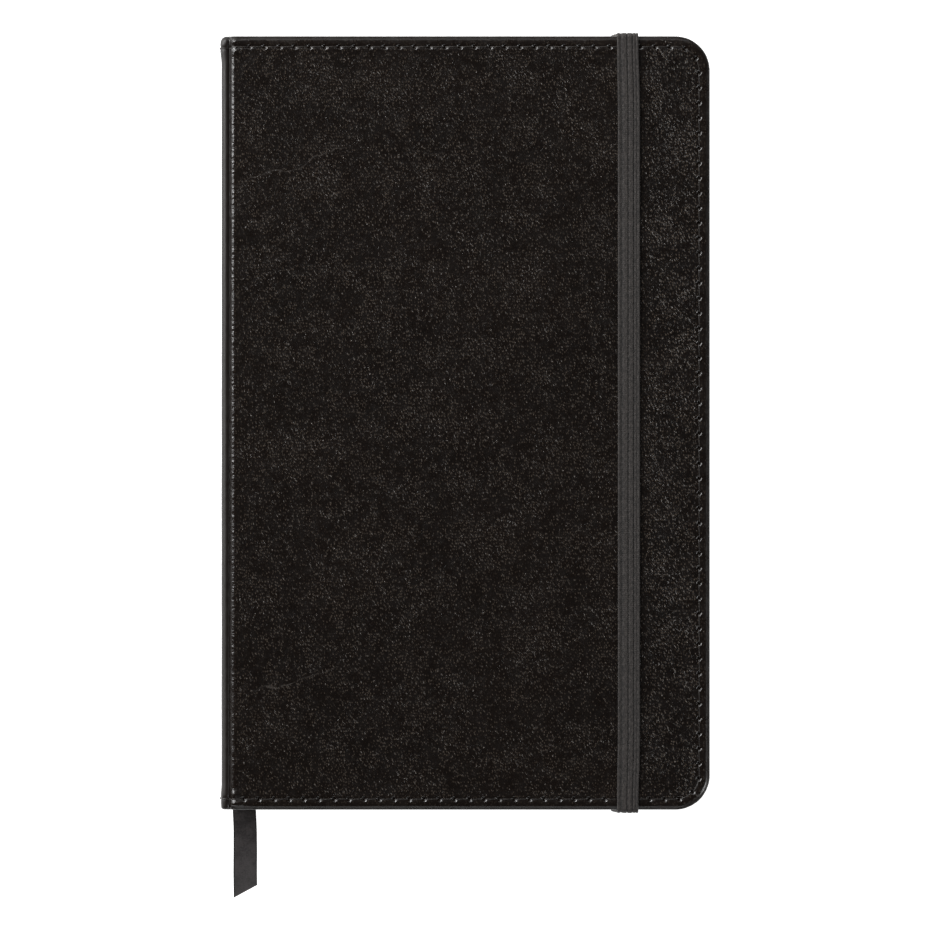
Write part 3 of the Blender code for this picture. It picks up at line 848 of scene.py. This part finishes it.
def band_path(side):
    """The band's middle line as (x, y, z), from mid height over the edge and in under the endpaper."""
    run_z = TOP + 0.06 * MM + BAND_THICK / 2
    out_y = HALF + 0.04 * MM + BAND_THICK / 2
    turn = 0.62 * MM                   # radius over the cover's edge
    inner = 0.85 * MM                  # and in under the endpaper
    end_y, end_z = 58.0 * MM, 2.12 * MM
    flat = []
    steps = 130
    for k in range(steps + 1):
        flat.append((k / steps * (out_y - turn), run_z))
    for k in range(1, 13):
        angle = math.radians(90 - 7.5 * k)
        flat.append((out_y - turn + turn * math.cos(angle), run_z - turn + turn * math.sin(angle)))
    low = 3.0 * MM
    high = run_z - turn
    for k in range(1, 25):
        flat.append((out_y, high + (low - high) * k / 24))
    for k in range(1, 13):
        angle = math.radians(-7.5 * k)
        flat.append((out_y - inner + inner * math.cos(angle), low + inner * math.sin(angle)))
    from_y, from_z = flat[-1]
    for k in range(1, 9):
        flat.append((from_y + (end_y - from_y) * k / 8, from_z + (end_z - from_z) * k / 8))
    path, travelled, before = [], 0.0, None
    for y, z in flat:
        if before is not None:
            travelled += math.hypot(y - before[0], z - before[1])
        before = (y, z)
        down = smooth((TOP - z) / (TOP - 2.6 * MM))
        near_edge = smooth((y - (HALF - 14 * MM)) / (14 * MM)) if z > TOP else 1.0
        x = BAND_MIDDLE - 0.22 * MM * near_edge - 1.0 * MM * down
        path.append((Vector((x, side * y, z)), travelled))
    return path


def elastic_half(name, side, made_of):
    """The band from the middle of the front over one edge to its glued end."""
    path = band_path(side)
    section = band_section()
    mesh = Mesh()
    sections, along, across, cord = [], [], [], []
    for k, (point, travelled) in enumerate(path):
        before = path[max(k - 1, 0)][0]
        after = path[min(k + 1, len(path) - 1)][0]
        ahead = after - before
        ahead.x = 0
        ahead.normalize()
        up = Vector((0, -ahead.z, ahead.y)) * side
        squeezed = 1 - 0.04 * smooth((travelled - (HALF - 10 * MM)) / (10 * MM))
        ring = []
        for u, v, raised in section:
            wave = 0.05 * noise.noise(Vector((u / 0.0007, side * travelled / 0.0013, 4.0)))
            ring.append(point + Vector((u * squeezed, 0, 0)) + up * ((v + wave * (v > 0)) * BAND_THICK))
            along.append(side * travelled)
            across.append(u)
            cord.append(raised)
        sections.append(ring if side > 0 else ring[::-1])
    if side < 0:
        count = len(section)
        for values in (across, cord):
            for first in range(0, len(values), count):
                values[first : first + count] = values[first : first + count][::-1]
    mesh.loft(sections, caps=False)
    made = piece(name, mesh.points, mesh.faces, made_of, {"along": along, "across": across, "cord": cord})
    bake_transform(made)
    return made


# ---- ribbon ----
def ribbon_tail_piece(made_of):
    """The free end of the marker, from between the pages out past the covers."""
    near_x, far_x = ribbon_low.x, ribbon_high.x
    middle, half = (near_x + far_x) / 2, (far_x - near_x) / 2
    start_z = ribbon_high.z
    thick = 0.17 * MM
    reach_near = -ribbon_low.y - BLOCK_HALF
    reach_far = reach_near - 2.4 * MM
    steps, columns = 70, 20
    hidden = 4.0 * MM
    mesh = Mesh()
    sections, across, along = [], [], []
    for k in range(steps + 1):
        ring = []
        upper = []
        for c in range(columns + 1):
            share = c / columns
            u = (2 * share - 1) * half
            reach = reach_near + (reach_far - reach_near) * share
            out = -hidden + (reach + hidden) * k / steps
            free = max(out, 0.0)
            drift = 0.20 * MM * smooth(free / (7 * MM)) - 0.06 * MM * smooth((free - 9 * MM) / (6 * MM))
            drift -= 0.50 * MM * smooth((out + hidden) / (hidden + 2.2 * MM))
            spread = 1 + 0.025 * smooth(free / (12 * MM))
            fall = (start_z - 0.30 * MM) * min(free / reach_near, 1.0) ** 2
            z = start_z - thick / 2 - 0.02 * MM - fall
            z += 0.05 * MM * bell(free - 9.2 * MM, 0.35 * MM)
            z += 0.045 * MM * noise.noise(Vector((u / 0.004, free / 0.005, 2.0))) * smooth(free / (2 * MM))
            cup = 0.10 * MM * (u / half) ** 2 * smooth(free / (5 * MM))
            cup *= 1 - smooth((free - 12 * MM) / (5 * MM))
            rim = 0.5 + 0.18 * smooth((abs(u) - half + 0.35 * MM) / (0.2 * MM))
            x = middle + u * spread + drift
            upper.append((x, -BLOCK_HALF - out, z + cup, rim, u, out))
        for face, points in ((1, upper), (-1, upper[::-1])):
            for x, y, z, rim, u, out in points:
                ring.append((x, y, z + face * rim * thick))
                across.append(u)
                along.append(out)
        sections.append(ring)
    mesh.loft(sections)
    made = piece("ribbon_tail_satin", mesh.points, mesh.faces, made_of, {"across": across, "along": along})
    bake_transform(made)
    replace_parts(made, "ribbon_marker_tail")


# ---- pages ----
def page_half(x, half, fore_x, radius):
    """Half a leaf's height at x, less at its rounded fore corners."""
    past = x - (fore_x - radius)
    if past <= 0:
        return half
    return half - radius + math.sqrt(max(radius * radius - past * past, 0.0))


def rim(grid):
    """The points round a grid's edge, in order."""
    return [g[0] for g in grid] + grid[-1][1:] + [g[-1] for g in grid[-2::-1]] + grid[0][-2:0:-1]


def page(name, node, made_of, seed):
    """One leaf, divided finely beside the gutter where it bends."""
    low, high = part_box(node)
    uneven = random.Random(seed)
    fore_x = high.x - uneven.uniform(0.0, 0.10) * MM
    half = high.y - uneven.uniform(0.0, 0.05) * MM
    columns = [low.x + 8 * MM * k / 32 for k in range(33)]
    flat_end = fore_x - BLOCK_CORNER
    columns += [columns[-1] + (flat_end - columns[-1]) * k / 16 for k in range(1, 17)]
    columns += [flat_end + BLOCK_CORNER * math.sin(math.pi / 2 * k / 14) for k in range(1, 15)]
    rows = 30
    mesh = Mesh()
    grids = []
    for z in (low.z, high.z):
        grid = []
        for x in columns:
            reach = page_half(min(x, fore_x - 0.0001 * MM), half, fore_x, BLOCK_CORNER)
            grid.append([mesh.add((x, reach * (2 * j / rows - 1), z)) for j in range(rows + 1)])
        grids.append(grid)
    lower, upper = grids
    for i in range(len(columns) - 1):
        for j in range(rows):
            mesh.faces.append((upper[i][j], upper[i + 1][j], upper[i + 1][j + 1], upper[i][j + 1]))
            mesh.faces.append((lower[i][j + 1], lower[i + 1][j + 1], lower[i + 1][j], lower[i][j]))
    rim_low, rim_high = rim(lower), rim(upper)
    for k in range(len(rim_low)):
        after = (k + 1) % len(rim_low)
        mesh.faces.append((rim_low[k], rim_low[after], rim_high[after], rim_high[k]))
    made = piece(name, mesh.points, mesh.faces, made_of, {"flat": [1.0] * len(mesh.points)})
    made.data.set_sharp_from_angle(angle=math.radians(50))
    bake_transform(made)
    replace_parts(made, node)


def gathering(name, node, leaves, made_of, seed):
    """A folded signature: leaves with slightly uneven edges, nested round the fold."""
    low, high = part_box(node)
    uneven = random.Random(seed)
    mesh = Mesh()
    sections = []
    height = high.z - low.z
    radius = BLOCK_CORNER

    def section(z, back):
        shift = abs(2 * (z - low.z) / height - 1)
        start = low.x + 0.45 * height * (1 - math.sqrt(max(0.0, 1 - shift * shift)))
        half, fore_x = high.y - back, high.x - back
        ring = [(start, -half, z), ((start + fore_x) / 2, -half, z)]
        for first in (-90, 0):
            for k in range(11):
                angle = math.radians(first + 9 * k)
                y = (radius - half if first else half - radius) + radius * math.sin(angle)
                ring.append((fore_x - radius + radius * math.cos(angle), y, z))
        ring += [((start + fore_x) / 2, half, z), (start, half, z)]
        return ring

    thick = height / leaves
    for leaf in range(leaves):
        z = low.z + leaf * thick
        back = uneven.uniform(0.0, 0.045) * MM
        for share, extra in ((0.02, 0.035), (0.16, 0.0), (0.84, 0.0), (0.98, 0.035)):
            sections.append(section(z + share * thick, back + extra * MM))
    count = len(sections[0])
    flat = [1.0] * count + [0.0] * (count * (len(sections) - 2)) + [1.0] * count
    mesh.loft(sections)
    made = piece(name, mesh.points, mesh.faces, made_of, {"flat": flat})
    made.data.set_sharp_from_angle(angle=math.radians(35))
    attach(made, "book")
    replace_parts(made, node)


def head_band_piece(name, node, made_of):
    """A cord wrapped in turns of thread."""
    low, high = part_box(node)
    x, y = (low.x + high.x) / 2, (low.y + high.y) / 2
    radius = (high.x - low.x) / 2
    steps = 130
    path = [(x, y, low.z + (high.z - low.z) * k / steps) for k in range(steps + 1)]
    radii = []
    for _, _, z in path:
        turn = abs(math.sin(math.pi * z / (0.45 * MM)))
        radii.append(radius * (0.90 + 0.10 * turn ** 0.5))
    mesh = Mesh()
    mesh.tube(path, radii, sides=16)
    made = piece(name, mesh.points, mesh.faces, made_of)
    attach(made, "book")
    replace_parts(made, node)


def satin_cad_material():
    s = Shader("satin_ribbon_inside", Sheen_Weight=0.2, Sheen_Roughness=0.35)
    where = s.object()
    fine = s.noise(where, 3000.0, 3.0)
    s.colour(s.mix(fine, (0.026, 0.022, 0.0225), (0.050, 0.043, 0.044)))
    s.rough(s.ramp(fine, 0.3, 0.7, 0.42, 0.58))
    s.bump(fine, 0.00003)
    return s.material


# ---- building ----
leather = leather_material()
waxed = thread_material("waxed_thread", (0.010, 0.008, 0.007), (0.028, 0.023, 0.020), 2600.0)
elastic = elastic_material()
satin = ribbon_material()
ivory, shade = (0.80, 0.755, 0.645), (0.765, 0.715, 0.60)
ruled = paper_material("ruled_paper", ivory, shade, ruled=True)
plain = paper_material("endpaper", (0.77, 0.72, 0.60), (0.73, 0.675, 0.555))
plain_cad = paper_material("endpaper_pasted", (0.77, 0.72, 0.60), (0.73, 0.675, 0.555), own=False)
board_look = board_material()
lining_look = cloth_material("spine_mull", (0.78, 0.76, 0.70), (0.55, 0.53, 0.48), 0.0008)
sewing_look = cloth_material("sewing_thread_plies", (0.78, 0.76, 0.70), (0.5, 0.48, 0.43), 0.0004)
stripes = striped_material()

front_skin, front_holes = cover_skin("front_and_spine_leather", 1, leather, True)
back_skin, back_holes = cover_skin("back_leather", -1, leather, False)
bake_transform(front_skin)
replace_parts(front_skin, "front_cover_leather", "spine_leather")
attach(back_skin, "book")
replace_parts(back_skin, "back_cover_leather")

front_thread = Mesh()
stitches(front_thread, front_holes, 1)
front_row = piece("front_cover_stitches", front_thread.points, front_thread.faces, waxed)
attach(front_row, "front_cover")
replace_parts(front_row, "front_cover_stitching")

back_thread, turn_thread = Mesh(), Mesh()
stitches(back_thread, back_holes, -1)
spine_turn(turn_thread, back_thread, 1, front_holes[0], back_holes[0])
spine_turn(turn_thread, back_thread, -1, ROW_LENGTH - front_holes[-1], ROW_LENGTH - back_holes[-1])
back_row = piece("back_cover_stitches", back_thread.points, back_thread.faces, waxed)
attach(back_row, "book")
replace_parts(back_row, "back_cover_stitching")

turns = piece("spine_stitches", turn_thread.points, turn_thread.faces, waxed)
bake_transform(turns)
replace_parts(turns, "spine_head_stitch", "spine_tail_stitch")

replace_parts(elastic_half("elastic_head_half", 1, elastic), "elastic_head_end", "elastic_band")
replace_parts(elastic_half("elastic_tail_half", -1, elastic), "elastic_tail_end", "elastic_band")
ribbon_tail_piece(satin)

page("front_flyleaf_paper", "front_flyleaf", plain, 5)
for number in range(1, 7):
    page(f"ruled_leaf_{number}", f"leaf_{number}", ruled, 30 + number)
gathering("gathering_1", "signature_1", 2, ruled, 51)
for number in range(2, 13):
    gathering(f"gathering_{number}", f"signature_{number}", 8, ruled, 50 + number)
head_band_piece("head_band_wrapped", "head_band", stripes)
head_band_piece("tail_band_wrapped", "tail_band", stripes)

for node, look in (
    ("front_pastedown", plain_cad),
    ("back_pastedown", plain_cad),
    ("back_flyleaf", plain_cad),
    ("front_board", board_look),
    ("back_board", board_look),
    ("spine_card", board_look),
    ("spine_lining_cloth", lining_look),
    ("signature_sewing_thread", sewing_look),
    ("ribbon_marker", satin_cad_material()),
):
    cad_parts[node].data.materials[0] = look

# ---- table, light and camera ----
TABLE = 1.6
table = bpy.data.meshes.new("table")
corners = [(-TABLE, -TABLE, 0), (TABLE, -TABLE, 0), (TABLE, TABLE, 0), (-TABLE, TABLE, 0)]
table.from_pydata(corners, [], [(0, 1, 2, 3)])
table.materials.append(floor_material())
floor = bpy.data.objects.new("table", table)
floor.location.z = -0.2 * MM        # the back's leather bulges that much beside the spine
bpy.context.scene.collection.objects.link(floor)

world = bpy.data.worlds.new("studio")
world.use_nodes = True
world.node_tree.nodes["Background"].inputs["Color"].default_value = (1.0, 1.0, 1.0, 1.0)
world.node_tree.nodes["Background"].inputs["Strength"].default_value = 0.035
bpy.context.scene.world = world


def softbox(name, place, width, height, power):
    """A soft lamp, aimed at the middle of the book's back."""
    light = bpy.data.lights.new(name, "AREA")
    light.shape = "RECTANGLE"
    light.size, light.size_y = width, height
    light.energy = power
    made = bpy.data.objects.new(name, light)
    made.location = place
    made.rotation_mode = "QUATERNION"
    made.rotation_quaternion = (-Vector(place)).to_track_quat("-Z", "Y")
    bpy.context.scene.collection.objects.link(made)


softbox("key_upper_left", (-0.38, 0.56, 0.56), 0.22, 0.22, 4.6)
softbox("low_left", (-0.75, 0.36, 0.32), 0.60, 0.36, 4.0)
softbox("strip_left", (-0.66, 0.31, 0.42), 0.50, 0.12, 2.8)
softbox("top", (0.05, 0.80, 0.50), 0.8, 0.22, 1.0)
softbox("right", (0.72, -0.34, 0.50), 0.26, 0.26, 2.5)
softbox("front", (0.0, -0.80, 0.45), 0.6, 0.2, 0.85)

camera_data = bpy.data.cameras.new("camera")
camera_data.lens, camera_data.sensor_width = 450.0, 36.0
camera = bpy.data.objects.new("camera", camera_data)
VIEW_WIDTH = 169.7 * MM             # what the picture takes in, at the front cover's face
camera.location = (0.8 * MM, -8.5 * MM, TOP + VIEW_WIDTH * camera_data.lens / camera_data.sensor_width)
bpy.context.scene.collection.objects.link(camera)
bpy.context.scene.camera = camera
bpy.context.scene.view_settings.view_transform = "Standard"
